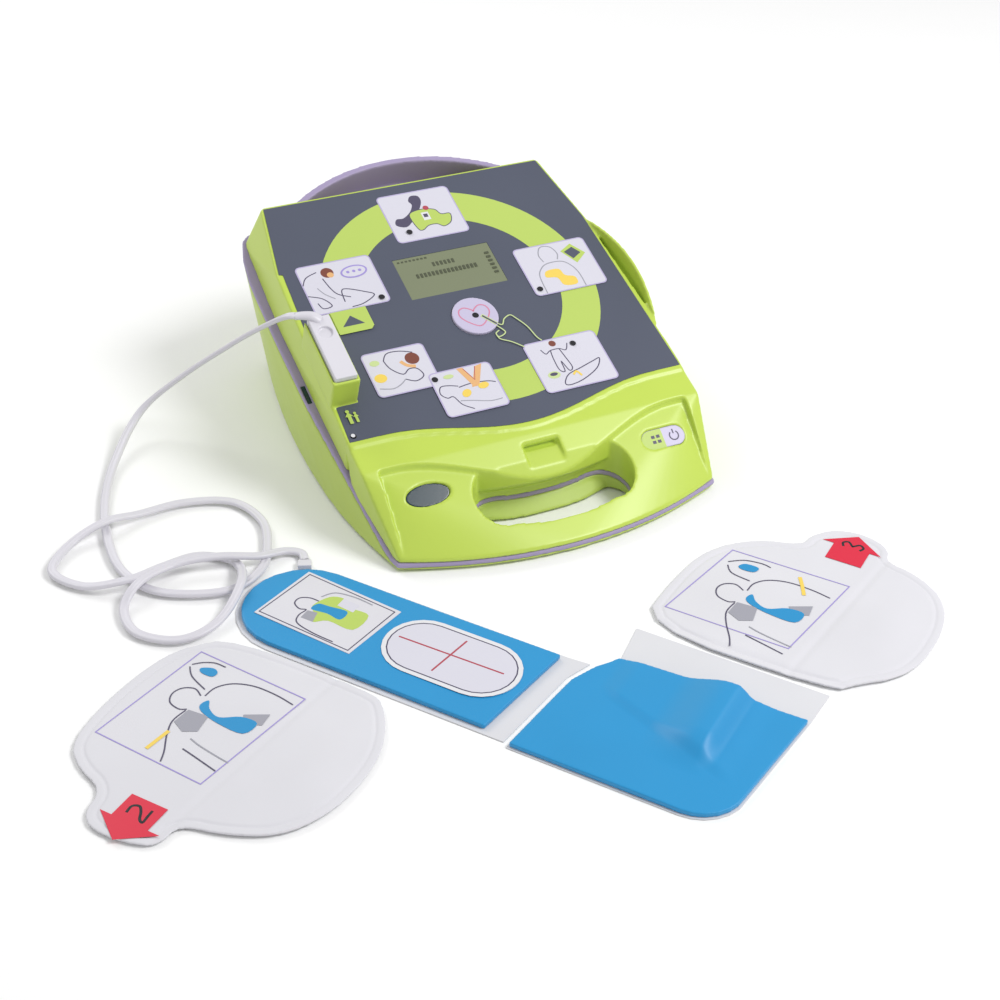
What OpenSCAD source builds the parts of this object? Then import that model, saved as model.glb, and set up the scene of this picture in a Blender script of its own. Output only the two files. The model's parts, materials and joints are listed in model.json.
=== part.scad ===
// Portable defibrillator lying open on the floor, with its plug, cord and
// one-piece electrode pads.  Millimetres, +Z up, the rest face is at Z = 0 and
// the origin is the middle of the unit's footprint.  The operator is on the -Y side.

/* [Unit] */

// Width of the unit over its bowed sides
unit_w = 240; // [238:1:244]
// Depth of the unit, front bar to rear bumper
unit_d = 292; // [290:1:294]
// Width of the operating panel along its front edge
panel_w = 224; // [222:1:225]
// Width of the operating panel along its rear edge
panel_rear_w = 196; // [192:1:198]
// Moulding wall thickness
wall = 2.6; // [2.4:0.1:2.8]

/* [Controls] */

// Shock button diameter
shock_d = 30; // [28:1:31]
// Button travel
travel = 1.2; // [1:0.1:1.4]

/* [Cord] */

// Diameter of the cord's round core
cord_d = 4; // [3.6:0.1:4.4]

/* [Hidden] */

$fn = 64;
fit = 0.05;            // radial play of every running fit

// Operating panel: a plane that rises to the rear
panel_tilt = 20;
panel_y = -64;
panel_z = 56;
panel_d = 194;
panel_knee_v = 137;    // the panel's side edges change direction here
panel_knee_w = 215;
overlay_t = 0.8;

// Parting surface: parallel to the panel, then level along the front
part_drop = 29;
part_flat_z = 6;
part_rise = tan(panel_tilt);
part_z0 = panel_z - part_drop / cos(panel_tilt);
part_bend_y = panel_y + (part_flat_z - part_z0) / part_rise;
gasket_t = 3.2;
shell_foot_z = 1;       // the feet and a middle land stand this far below the shell
land = [34, 24];

// Front of the unit
front_corner_x = 106;
front_y = -unit_d / 2;
front_bow = 24;
front_lip_z = 8.5;
rim_drop = 1.2;        // the front lies this far under the panel's rim
brow_y = -85;          // top of the step, at the sides
brow_z = 47.4;
brow_half_w = 113.5;
brow_reach = 22;       // how far the step bulges forward in the middle
brow_half = 95;
pocket_half = 103;
pocket_z = 43.2;
crease = [-99.3, 38.2];
chin = [-107.2, 28.5];

// Hand hole: round ends, bowed front, and a scooped grip behind
hole_end_x = 35.5;
hole_end_r = 17;
hole_y = -111.5;
hole_front_y = -132.6;
hole_front_curve = 0.0037;
grip_y = 59;           // centre of the grip's curve
grip_r = 157;
grip_lip_r = 166;
grip_z = [9.5, 19, 27];

// Outlines of the lower shell: half width at the foot and at the gasket
foot_half = unit_w / 2 - 2;
foot_wide_y = -36;
foot_r_front = 330;
foot_r_rear = 690;
seam_outline = [
    [107, -123], [109.8, -84], [113.2, -38], [116.4, 10], [117.2, 60], [116.8, 100], [114.5, 116], [111, 127]
];

// Controls and windows, in panel coordinates [across, up the slope]
lcd = [67, 35];
lcd_at = [0, 113];
shock_at = [0, 72];
power_at = [80, -101.3];
power_r = 6.5;
power_half = 8.5;
status_at = [-78, -100.2];
status_r = [14, 7];
led_at = [[-12.5, 151], [-51, 102], [50.5, 82.5], [52, 34.5], [-45, 30.5], [-108, 4]];
led_r = 1.6;

// Plug and its trough on the left of the panel
plug_at = [-105, 29.5];
plug_size = [14, 49, 20];
plug_rise = 4;
trough_wall = 1.8;
trough_h = 21;

// Battery well
cell_r = 8.4;
cell_len = 34;
cell_pitch = 17.2;
cell_rows = 5;
well_at = [0, 62];
well = [cell_pitch * cell_rows + 4, 2 * cell_len + 14, 20];
door_t = 2;
door_gap = 0.4;
hinge_y = well_at[1] + well[1] / 2 + 6;
hinge_half = 38;

// Electrode pads: a strip on the floor, in its own frame [along, across]
pad_at = [-85, -250];
pad_turn = -54;
pad_w = 70;
liner_t = 0.6;
foam_t = 3;
sheet_t = 1.2;
gel_t = 0.8;

module on_panel() translate([0, panel_y, panel_z]) rotate([panel_tilt, 0, 0]) children();

module on_pads(h = 0) translate([pad_at[0], pad_at[1], h]) rotate([0, 0, pad_turn]) children();

// A profile drawn as [depth, height] and run across the width
module across(len, profile) rotate([90, 0, 90]) linear_extrude(len, center = true) polygon(profile);

function arc_points(x0, x1, n, f) = [for (i = [0:n]) let (x = x0 + (x1 - x0) * i / n) [x, f(x)]];
function bow(x, half, rise) = let (r = (half * half + rise * rise) / (2 * rise)) r - sqrt(r * r - x * x);
function front_edge(x) = front_y + bow(x, front_corner_x, front_bow);
function brow_edge(x) = abs(x) > brow_half ? brow_y : brow_y - brow_reach * (1 + cos(180 * x / brow_half)) / 2;
function pocket_slope(x) = atan((pocket_z - front_lip_z) / (brow_y - front_edge(x)));
function wave(u) = abs(u) > 90 ? 0 : -7.5 * (1 + cos(180 * u / 90));
function pocket_height(x, y) =
    pocket_z + (y - brow_y) * (pocket_z - front_lip_z) / (brow_y - front_edge(x));
function mirrored(pts) = concat(pts, [for (i = [len(pts) - 1:-1:0]) [-pts[i][0], pts[i][1]]]);

module above_parting(lift = 0) across(400, [
    [-200, part_flat_z + lift],
    [part_bend_y, part_flat_z + lift],
    [200, part_z0 + (200 - panel_y) * part_rise + lift],
    [200, 300],
    [-200, 300]
]);

// Front outline in plan, from the panel's front line to the bowed bar
module front_plan(inset = 0) {
    w = front_corner_x - inset;
    polygon(concat(
        [for (i = [-12:12]) [w * i / 12, front_edge(w * i / 12) + inset]],
        [[w + 4, panel_y], [-w - 4, panel_y]]
    ));
}

// Slab under the operating panel, inset evenly on every side
module main_block(inset = 0, top = 0) on_panel() hull() {
    for (s = [-1, 1]) {
        for (p = [[panel_w / 2 + 1.5, 0], [panel_knee_w / 2 + 1.5, panel_knee_v], [panel_rear_w / 2 + 1.5, panel_d + 1.5]])
            translate([s * (p[0] - 3 - inset), p[1] - (p[1] > 0 ? 3 + inset : -3), -top - 0.4])
                cylinder(r = 3, h = 0.4, $fn = 24);
        for (p = [[110.5, 0], [112, panel_knee_v], [109.5, panel_d + 1.5]])
            translate([s * (p[0] - 3 - inset), p[1] - (p[1] > 0 ? 3 + inset : -3), -part_drop - 3])
                cylinder(r = 3, h = 0.4, $fn = 24);
    }
}

// Ruled front: panel edge, brow line and bowed lip
module front_block() hull() {
    on_panel() translate([-brow_half_w, 0, -0.4 - rim_drop]) cube([2 * brow_half_w, 4, 0.4]);
    translate([-brow_half_w, brow_y, brow_z - 0.4]) cube([2 * brow_half_w, 4, 0.4]);
    translate([0, 0, -1]) linear_extrude(front_lip_z + 1) front_plan();
}

module pocket_floor() hull() {
    translate([-pocket_half, brow_y, pocket_z - 0.4]) cube([2 * pocket_half, 8, 0.4]);
    translate([0, 0, -1]) linear_extrude(front_lip_z + 1) front_plan();
}

module pocket_plan() polygon(concat(
    [for (i = [-24:24]) let (x = pocket_half * i / 24) [x, brow_edge(x)]],
    [[pocket_half, -170], [-pocket_half, -170]]
));

// The grip behind the hand hole: curved in plan, scooped out in height
module grip(grow = 0) intersection() {
    translate([0, grip_y, 0]) rotate_extrude($fn = 240) polygon([
        [20, -5], [grip_r + 9 - grow, -5], [grip_r + 9 - grow, 0], [grip_r - grow, grip_z[0]],
        [grip_r - grow, grip_z[1]], [grip_lip_r - grow, grip_z[2]], [grip_lip_r - grow, 70], [20, 70]
    ]);
    translate([0, 0, -6]) linear_extrude(80) polygon(concat(
        [for (i = [-12:12]) let (x = 60 * i / 12) [x, brow_edge(x) + grow]],
        [[60, -60], [-60, -60]]
    ));
}

module hand_hole(grow = 0) difference() {
    translate([0, 0, -5]) linear_extrude(80) union() {
        for (s = [-1, 1]) translate([s * hole_end_x, hole_y]) circle(r = hole_end_r + grow);
        polygon(concat(
            [for (i = [-8:8]) let (x = hole_end_x * i / 8)
                [x, hole_front_y + hole_front_curve * x * x - grow]],
            [[hole_end_x, hole_y + hole_end_r + grow], [-hole_end_x, hole_y + hole_end_r + grow]]
        ));
    }
    grip(grow);
}

// Chin: the brow's middle turns down steeply above the grip
module chin_cut() across(66, [[crease[0], 60], crease, chin, [-112, chin[1]], [-112, 60]]);

module stadium(half, r, h) {
    for (s = [-1, 1]) translate([s * half, 0, 0]) cylinder(r = r, h = h);
    translate([-half, -r, 0]) cube([2 * half, 2 * r, h]);
}

module oval(rx, ry, h) linear_extrude(h) polygon([for (a = [0:10:350]) [rx * cos(a), ry * sin(a)]]);

module rounded_plate(size, r, h) {
    for (x = [r, size[0] - r], y = [r, size[1] - r]) translate([x, y, 0]) cylinder(r = r, h = h, $fn = 32);
    translate([r, 0, 0]) cube([size[0] - 2 * r, size[1], h]);
    translate([0, r, 0]) cube([size[0], size[1] - 2 * r, h]);
}

module at_power() translate([power_at[0], power_at[1], pocket_height(power_at[0], power_at[1])])
    rotate([pocket_slope(power_at[0]), 0, 0]) children();

module at_status() translate([status_at[0], status_at[1], pocket_height(status_at[0], status_at[1])])
    rotate([pocket_slope(power_at[0]), 0, 0]) children();

// Panel outline, with the wave along its front edge and a jog on the left
module panel_plan(inset = 0) polygon(concat(
    [for (i = [-24:24]) let (u = (panel_w / 2 - inset) * i / 24) [u, wave(u) + inset]],
    [
        [panel_knee_w / 2 - inset, panel_knee_v],
        [panel_rear_w / 2 - inset, panel_d - inset],
        [-panel_rear_w / 2 + inset, panel_d - inset],
        [-panel_knee_w / 2 + inset, panel_knee_v],
        [-panel_knee_w / 2 + inset + 2.4, panel_knee_v - 0.6]
    ]
));

// Raised land that carries the wave-fronted panel forward of the slab
module panel_land() on_panel() intersection() {
    translate([0, 0, -12]) linear_extrude(12) polygon(concat(
        [for (i = [-24:24]) let (u = 112.5 * i / 24) [u, wave(u) - 3.6]],
        [[112.5, 8], [-112.5, 8]]
    ));
    translate([-113, -24, -40]) cube([226, 60, 40]);
}

// Guard that bows out beside the panel and stands a little above it
guard_chord = 101;
guard_bow = 8;
guard_r = (guard_chord * guard_chord / 4 + guard_bow * guard_bow) / (2 * guard_bow);
guard_top = 7;
guard_arch = (guard_chord * guard_chord / 4 + guard_top * guard_top) / (2 * guard_top);

module guard_frame() on_panel() translate([110.5, 86.5, 0]) rotate([0, 0, 3.6]) children();

module guard_lens(thin, from, to) translate([0, 0, from]) intersection() {
    translate([guard_bow - guard_r, 0, 0]) cylinder(r = guard_r - thin, h = to - from, $fn = 360);
    translate([-thin - 6, -guard_chord / 2, 0]) cube([30, guard_chord, to - from]);
}

module side_guard() guard_frame() difference() {
    intersection() {
        guard_lens(0, -part_drop, guard_top);
        translate([0, 0, guard_top - guard_arch]) rotate([0, 90, 0]) cylinder(r = guard_arch, h = 80, center = true, $fn = 360);
    }
    intersection() {
        guard_lens(2.2, -7, guard_top + 1);
        translate([1.2, -60, -8]) cube([30, 120, 30]);
    }
    translate([-20, -60, 0]) cube([21.2, 120, 20]);
}

// Plug trough: floor on the panel, three green walls, open to the rear
module plug_trough() on_panel() translate([plug_at[0] - plug_size[0] / 2 - trough_wall, plug_at[1] - trough_wall, -1])
    difference() {
        cube([plug_size[0] + 2 * trough_wall, plug_size[1] + trough_wall, trough_h + 1]);
        translate([trough_wall - 0.15, trough_wall, 2]) cube([plug_size[0] + 0.3, 80, 40]);
    }

module latch_notch() {
    across(24, [[-89.5, 60], [-89.5, 40.6], [-103.4, 33.6], [-112, chin[1]], [-112, 60]]);
    translate([-11, -92, 38.8]) cube([22, 5, 2]);
}

module upper_cavity() {
    main_block(wall, wall + 0.6);
    across(2 * brow_half_w - 12, [
        [brow_y, -5], [brow_y, pocket_z - 4.6], [panel_y, panel_z - 7], [panel_y + 8, panel_z - 7], [panel_y + 8, -5]
    ]);
    hull() {
        translate([-pocket_half - 1, brow_y, pocket_z - 5]) cube([2 * pocket_half + 2, 1, 0.4]);
        translate([0, 0, -1]) linear_extrude(front_lip_z - 2) intersection() {
            front_plan(4);
            translate([-200, -200]) square([400, 200 + brow_y + 1]);
        }
    }
}

module upper_skin() difference() {
    union() {
        main_block();
        front_block();
        panel_land();
        side_guard();
        plug_trough();
    }
    difference() {
        translate([0, 0, -5]) linear_extrude(90) pocket_plan();
        pocket_floor();
        panel_land();
    }
}

module upper_housing() color([0.66, 0.78, 0.2]) difference() {
    intersection() {
        difference() {
            upper_skin();
            difference() {
                upper_cavity();
                hand_hole(wall);
                housing_posts();
            }
        }
        above_parting();
    }
    hand_hole();
    chin_cut();
    latch_notch();
    on_panel() {
        translate([0, 0, -overlay_t]) linear_extrude(5) difference() {
            panel_plan();
            translate([plug_at[0] - plug_size[0] / 2 - trough_wall - 4, plug_at[1] - trough_wall])
                square([plug_size[0] + 2 * trough_wall + 4, plug_size[1] + trough_wall]);
        }
        translate([lcd_at[0] - lcd[0] / 2, lcd_at[1] - lcd[1] / 2, -20]) cube([lcd[0], lcd[1], 30]);
        translate([shock_at[0], shock_at[1], -20]) cylinder(d = shock_d + 2 * fit, h = 30);
        for (p = led_at) translate([p[0], p[1], -20]) cylinder(r = led_r + fit, h = 30, $fn = 24);
    }
    at_power() translate([0, 0, -20]) stadium(power_half, power_r + fit, 40);
    at_status() translate([0, 0, -1.2]) oval(status_r[0], status_r[1], 30);
    at_status() translate([0, 0, -30]) oval(status_r[0] - 2, status_r[1] - 2, 40);
    for (p = screw_at) translate([p[0], p[1], -2]) cylinder(r = 1.6, h = screw_top(p) + 2, $fn = 24);
}

// Case screws run up from the lower shell into posts
screw_at = [[-94, -52], [94, -52], [-96, 60], [96, 60], [-88, 112], [88, 112]];
screw_len = 16;
function part_height(y) = part_z0 + (y - panel_y) * part_rise;
function screw_top(p) = part_height(p[1]) + 10;

module housing_posts() for (p = screw_at) translate([p[0], p[1], part_height(p[1]) - 12])
    cylinder(r = 4.5, h = 60, $fn = 32);

// Lower shell: from the foot's outline up to the gasket's wider one
function foot_x(y) = let (d = y - foot_wide_y) foot_half - d * d / 2 / (d > 0 ? foot_r_rear : foot_r_front);

// Rear corner and bowed rear wall, from the right side round to the middle
function rear_arc(x, y, n = 7) = [for (i = [1:n]) let (a = 90 * i / (n + 1))
    [x * pow(cos(a), 0.6), y + (unit_d / 2 - y) * sin(a)]];

module foot_outline(inset = 0) {
    side = [for (i = [0:12]) let (y = -121 + 247 * i / 12) [foot_x(y) - inset, y * (126 - inset) / 126]];
    front = [for (i = [1:8]) let (x = side[0][0] * i / 8) [x, front_edge(x) + inset]];
    polygon(mirrored(concat([[0, front_y + inset]], front, side, rear_arc(side[12][0], side[12][1] - inset / 2), [[0, unit_d / 2 - inset]])));
}

// The gasket's outline lies in the sloping parting surface
module seam_outline_plan(inset = 0) {
    side = [for (p = seam_outline) [p[0] - inset, (p[1] - panel_y - part_drop * sin(panel_tilt)) / cos(panel_tilt)]];
    end = side[len(side) - 1];
    rear_v = (unit_d / 2 - inset - panel_y - part_drop * sin(panel_tilt)) / cos(panel_tilt);
    polygon(mirrored(concat(
        side,
        [for (i = [1:7]) let (a = 90 * i / 8) [end[0] * pow(cos(a), 0.6), end[1] - inset + (rear_v - end[1] + inset) * sin(a)]],
        [[0, rear_v]]
    )));
}

module lower_block(inset = 0, foot = shell_foot_z) hull() {
    translate([0, 0, foot]) linear_extrude(0.2) foot_outline(inset);
    translate([0, 0, front_lip_z - 2]) linear_extrude(0.2) intersection() {
        foot_outline(inset);
        translate([-200, -200]) square([400, 200 - 112]);
    }
    on_panel() translate([0, 0, -part_drop]) linear_extrude(0.2) seam_outline_plan(inset);
}

module lower_posts() for (p = screw_at) translate([p[0], p[1], shell_foot_z])
    cylinder(r = 5, h = 140, $fn = 32);

module well_walls() translate([well_at[0] - well[0] / 2 - wall, well_at[1] - well[1] / 2 - wall, shell_foot_z])
    union() {
        cube([well[0] + 2 * wall, well[1] + 2 * wall, well[2] + wall + door_t]);
        cube([well[0] + 2 * wall, well[1] + 2 * wall + 10, 8]);
    }

module lower_shell() color([0.6, 0.72, 0.35]) {
    lower_moulding();
    translate([-8, -13, 0]) cube([land[0], land[1], shell_foot_z + 0.5]);
}

module lower_moulding() difference() {
    intersection() {
        difference() {
            lower_block();
            difference() {
                lower_block(wall, shell_foot_z + wall);
                lower_posts();
                well_walls();
                hand_hole(wall);
            }
        }
        difference() {
            translate([-200, -200, -10]) cube([400, 400, 210]);
            above_parting(-gasket_t);
        }
    }
    hand_hole();
    translate([well_at[0] - well[0] / 2, well_at[1] - well[1] / 2, shell_foot_z + door_t + 0.2])
        cube([well[0], well[1], well[2]]);
    door_opening();
    for (p = screw_at) {
        translate([p[0], p[1], -1]) cylinder(r = 3.2, h = part_height(p[1]) - gasket_t - 3, $fn = 32);
        translate([p[0], p[1], -1]) cylinder(r = 1.7, h = 140, $fn = 24);
    }
    for (p = foot_at) translate([p[0], p[1], -1]) cylinder(r = 7, h = 3.4);
    speaker_slots();
    translate([-75, -30, -1]) cube([60, 34, shell_foot_z + 1.4]);
}

door_half = well[0] / 2 + 1;
door_y = well_at[1] - well[1] / 2 - 8;      // free edge of the door
shoulder_y = well_at[1] + well[1] / 2 + 1;  // where the door narrows to its hinge
hinge_z = shell_foot_z + door_t;

module door_opening() {
    translate([-door_half, door_y, -1]) cube([2 * door_half, shoulder_y - door_y, hinge_z + 3]);
    translate([-hinge_half - 0.4, shoulder_y - 1, -1]) cube([2 * hinge_half + 0.8, hinge_y - shoulder_y + 4, hinge_z + 1]);
    translate([-hinge_half - 0.4, hinge_y, hinge_z]) rotate([0, 90, 0]) cylinder(r = 2.4, h = 2 * hinge_half + 0.8, $fn = 32);
    translate([-hinge_half - 5, hinge_y, hinge_z]) rotate([0, 90, 0]) cylinder(r = 0.8, h = 2 * hinge_half + 10, $fn = 32);
}

foot_at = [[-88, -66], [88, -66], [-70, 122], [70, 122]];

module rubber_feet() color([0.25, 0.25, 0.28]) for (p = foot_at) translate([p[0], p[1], 0]) cylinder(r = 7, h = 2.4);

module speaker_slots() for (i = [-3:3]) translate([46 + i * 5, -40, -1]) cube([2, 24, wall + 3]);

module case_screws() color([0.7, 0.7, 0.72]) for (p = screw_at) translate([p[0], p[1], part_height(p[1]) - gasket_t - 4]) {
    translate([0, 0, -2]) cylinder(r = 3, h = 2, $fn = 32);
    cylinder(r = 1.5, h = screw_len - 3, $fn = 24);
}

// Soft gasket on the parting surface; its ledge shows beside the housing
ir_at = [-113.6, 63];
ir_size = [2.8, 14];

module infrared_window() color([0.2, 0.15, 0.25]) on_panel()
    translate([ir_at[0] - ir_size[0] / 2, ir_at[1] - ir_size[1] / 2, -part_drop - 1.2]) cube([ir_size[0], ir_size[1], 1.2]);

module gasket() color([0.55, 0.5, 0.68]) difference() {
    intersection() {
        difference() {
            lower_block();
            difference() {
                lower_block(16, 0);
                hand_hole(6);
            }
        }
        difference() {
            above_parting(-gasket_t);
            above_parting();
        }
    }
    hand_hole();
    for (p = screw_at) translate([p[0], p[1], -2]) cylinder(r = 1.7, h = 160, $fn = 24);
    on_panel() translate([ir_at[0] - ir_size[0] / 2, ir_at[1] - ir_size[1] / 2, -part_drop - 1.2])
        cube([ir_size[0], ir_size[1], 3]);
}

// Rear bumper: a crescent wall behind the panel
bumper_half = 76;
bumper_bow = 25;
bumper_r = (bumper_half * bumper_half + bumper_bow * bumper_bow) / (2 * bumper_bow);

module rear_bumper() color([0.6, 0.54, 0.74]) intersection() {
    on_panel() difference() {
        translate([0, panel_d + 1.6 + bumper_bow - bumper_r, -part_drop - 12]) cylinder(r = bumper_r, h = part_drop + 10, $fn = 240);
        translate([0, panel_d + 1.6 + bumper_bow - bumper_r, -part_drop + 6])
            cylinder(r = bumper_r - 4.5, h = 40, $fn = 240);
        translate([-200, panel_d + 1.6 - 400, -100]) cube([400, 400, 200]);
    }
    above_parting();
}

module panel_overlay() color([0.34, 0.39, 0.45]) on_panel() translate([0, 0, -overlay_t]) difference() {
    linear_extrude(overlay_t) difference() {
        panel_plan(0.2);
        translate([plug_at[0] - plug_size[0] / 2 - trough_wall - 4, plug_at[1] - trough_wall - 0.2])
            square([plug_size[0] + 2 * trough_wall + 4.2, plug_size[1] + trough_wall + 0.4]);
        translate([lcd_at[0] - lcd[0] / 2, lcd_at[1] - lcd[1] / 2]) square(lcd);
    }
    translate([shock_at[0], shock_at[1], -1]) cylinder(d = shock_d + 0.8, h = 4);
    for (p = led_at) translate([p[0], p[1], -1]) cylinder(r = led_r + 0.2, h = 4, $fn = 24);
}

module lcd_window() color([0.7, 0.75, 0.65, 0.6]) on_panel()
    translate([lcd_at[0] - lcd[0] / 2 + 0.1, lcd_at[1] - lcd[1] / 2 + 0.1, -1.6]) cube([lcd[0] - 0.2, lcd[1] - 0.2, 1.4]);

module lcd_module() color([0.53, 0.56, 0.47]) on_panel() {
    translate([lcd_at[0] - lcd[0] / 2 + 1, lcd_at[1] - lcd[1] / 2 + 1, -4]) cube([lcd[0] - 2, lcd[1] - 2, 2.2]);
    translate([lcd_at[0] - 40, lcd_at[1] - 24, -8]) cube([80, 48, 4]);
}

module shock_button() color([0.8, 0.76, 0.86]) on_panel() translate([shock_at[0], shock_at[1], 0]) {
    translate([0, 0, -6]) cylinder(d = shock_d, h = 7.6);
    translate([0, 0, -10]) cylinder(r = 4, h = 4);
}

module power_button() color([0.62, 0.56, 0.76]) at_power() {
    translate([0, 0, -5]) stadium(power_half, power_r, 5.8);
    translate([0, 0, -8]) cylinder(r = 3, h = 3);
}

module status_window() color([0.18, 0.3, 0.35, 0.8]) at_status() translate([0, 0, -1.1]) oval(status_r[0] - 0.1, status_r[1] - 0.1, 1.3);

module status_display() color([0.2, 0.3, 0.32]) at_status() translate([-7, -3, -3.4]) cube([14, 6, 2]);

module panel_leds() color([0.15, 0.15, 0.17]) on_panel() for (p = led_at)
    translate([p[0], p[1], -6]) cylinder(r = led_r, h = 6.2, $fn = 24);

board_n = -14;

module main_board() color([0.1, 0.35, 0.2]) on_panel() difference() {
    translate([-88, 22, board_n - 1.6]) cube([176, 150, 1.6]);
    for (p = [[-82, 28], [82, 28], [-82, 164], [82, 164]]) translate([p[0], p[1], board_n - 3]) cylinder(r = 1.6, h = 6, $fn = 24);
}

module board_chips() color([0.14, 0.14, 0.15]) on_panel() for (p = [[-60, 140, 22, 22], [-20, 150, 16, 16], [40, 145, 26, 18], [60, 60, 14, 14]])
    translate([p[0], p[1], board_n]) cube([p[2], p[3], 2.2]);

module dome_switches() color([0.75, 0.75, 0.78]) {
    on_panel() translate([shock_at[0], shock_at[1], board_n]) cylinder(r = 4.5, h = 2.4);
    at_power() translate([0, 0, -12]) cylinder(r = 3.5, h = 2.4);
}

module switch_board() color([0.1, 0.35, 0.2]) at_power() translate([-12, -6, -13.2]) cube([24, 12, 1.2]);

module storage_capacitor() color([0.2, 0.24, 0.5]) translate([-52, 10, 44]) rotate([0, 90, 0]) {
    cylinder(r = 15, h = 60);
    translate([0, 0, 60]) cylinder(r = 13, h = 2);
}

module charging_coil() color([0.72, 0.45, 0.2]) translate([52, -18, 10.6]) difference() {
    cylinder(r = 15, h = 14);
    translate([0, 0, -1]) cylinder(r = 6, h = 16);
}

module output_relay() color([0.9, 0.88, 0.8]) translate([-86, -30, 10.6]) cube([22, 26, 16]);

module power_board() color([0.12, 0.38, 0.25]) translate([-92, -40, 9]) cube([184, 46, 1.6]);

module loudspeaker() color([0.16, 0.16, 0.18]) translate([46, -28, shell_foot_z + wall]) {
    cylinder(r = 15, h = 3);
    translate([0, 0, 3]) cylinder(r = 9, h = 2.2);
}

module microphone() color([0.75, 0.75, 0.75]) on_panel() translate([88, 176, -9]) cylinder(r = 3, h = 5, $fn = 32);

// Battery set: ten round cells in two rows behind a door in the underside
module battery_cells() color([0.85, 0.8, 0.35]) for (i = [0:cell_rows - 1], s = [-1, 1])
    translate([well_at[0] + (i - 2) * cell_pitch, well_at[1] + s * (cell_len / 2 + 1.5), shell_foot_z + door_t + 1 + cell_r])
        rotate([90, 0, 0]) {
            translate([0, 0, -cell_len / 2]) cylinder(r = cell_r, h = cell_len - 1.2);
            translate([0, 0, cell_len / 2 - 1.2]) cylinder(r = 3, h = 1.2, $fn = 32);
        }

module battery_contacts() color([0.8, 0.78, 0.7]) for (i = [0:cell_rows - 1], s = [-1, 1])
    translate([well_at[0] + (i - 2) * cell_pitch - 5, well_at[1] + s * (well[1] / 2 - 0.9) - 0.4, shell_foot_z + door_t + 4])
        cube([10, 0.8, 12]);

module battery_lead() color([0.75, 0.1, 0.1]) translate([well_at[0] - 30, well_at[1] - well[1] / 2 - wall - 18, 12]) {
    cube([2.4, 18, 2.4]);
    translate([4, 0, 0]) cube([2.4, 18, 2.4]);
}

module battery_door() color([0.6, 0.72, 0.35]) difference() {
    union() {
        translate([-door_half + door_gap, door_y + door_gap, shell_foot_z])
            cube([2 * door_half - 2 * door_gap, shoulder_y - door_y - 2 * door_gap, door_t]);
        translate([-hinge_half, shoulder_y - 2, shell_foot_z]) cube([2 * hinge_half, hinge_y - shoulder_y + 2, door_t]);
        translate([-hinge_half, hinge_y, hinge_z]) rotate([0, 90, 0]) cylinder(r = 2, h = 2 * hinge_half, $fn = 32);
    }
    translate([-hinge_half - 1, hinge_y, hinge_z]) rotate([0, 90, 0]) cylinder(r = 0.8 + fit, h = 2 * hinge_half + 2, $fn = 32);
    translate([0, door_y + 2, -1]) cylinder(r = 9, h = shell_foot_z + 2.2);
}

module hinge_pin() color([0.75, 0.75, 0.78]) translate([-hinge_half - 5, hinge_y, hinge_z])
    rotate([0, 90, 0]) cylinder(r = 0.8, h = 2 * hinge_half + 10, $fn = 32);

module rating_plate() color([0.85, 0.85, 0.87]) translate([-74.8, -29.8, shell_foot_z]) cube([59.6, 33.6, 0.4]);

// Plug, its strain relief and the cord
module plug_body() color([0.92, 0.9, 0.93]) on_panel() translate([plug_at[0] - plug_size[0] / 2, plug_at[1] + 0.2, 1.2]) {
    difference() {
        cube([plug_size[0], plug_size[1], plug_size[2] + 2.8]);
        translate([plug_size[0] / 2, plug_size[1] - 13, plug_size[2] + 1]) cylinder(r = 4.6, h = 3);
        for (x = [4, 10]) translate([x, -1, 8]) rotate([-90, 0, 0]) cylinder(r = 1.2, h = 9, $fn = 24);
    }
}

module socket_pins() color([0.85, 0.75, 0.4]) on_panel() translate([plug_at[0] - plug_size[0] / 2, plug_at[1], 1.2])
    for (x = [4, 10]) translate([x, 0, 8]) rotate([-90, 0, 0]) cylinder(r = 1, h = 7, $fn = 24);

// The cord's route over the floor, from the plug to the pads' tab
cord_route = [
    [-116.6, 6.4, 105.8], [-123, 10, 104.6], [-134, 26, 91], [-148, 44, 73], [-174, 70, 42], [-200, 80, 17],
    [-226, 50, 5], [-243, 12, 3], [-252, -28, 3], [-252, -62, 3], [-238, -88, 3],
    [-204, -102, 3], [-180, -92, 3], [-168, -70, 3], [-163, -45, 3], [-173, -20, 3],
    [-200, -9, 3], [-228, -11, 4], [-250, -16, 8], [-273, -24, 4], [-289, -44, 3],
    [-276, -66, 3.5], [-252, -76, 8], [-230, -68, 5], [-208, -64, 3], [-191, -78, 3],
    [-195, -104, 8.5], [-216, -127, 4], [-240, -133, 3], [-260, -118, 3], [-261, -95, 3.5],
    [-248, -82, 9], [-225, -73, 8], [-200, -77, 9], [-178, -82, 6], [-161, -80, 3],
    [-152.5, -85, 2.4], [-153, -92.3, 2.2]
];

function blend4(a, b, c, d, t) = 0.5 * ((2 * b) + (c - a) * t + (2 * a - 5 * b + 4 * c - d) * t * t
    + (3 * b - a - 3 * c + d) * t * t * t);
function clamp_i(i, n) = max(0, min(n - 1, i));
function route_point(r, s) = let (n = len(r), i = min(floor(s), n - 2), t = s - i)
    blend4(r[clamp_i(i - 1, n)], r[i], r[i + 1], r[clamp_i(i + 2, n)], t);
function route_samples(r, per) = [for (k = [0:(len(r) - 1) * per]) route_point(r, k / per)];
function unit(v) = v / norm(v);

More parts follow.
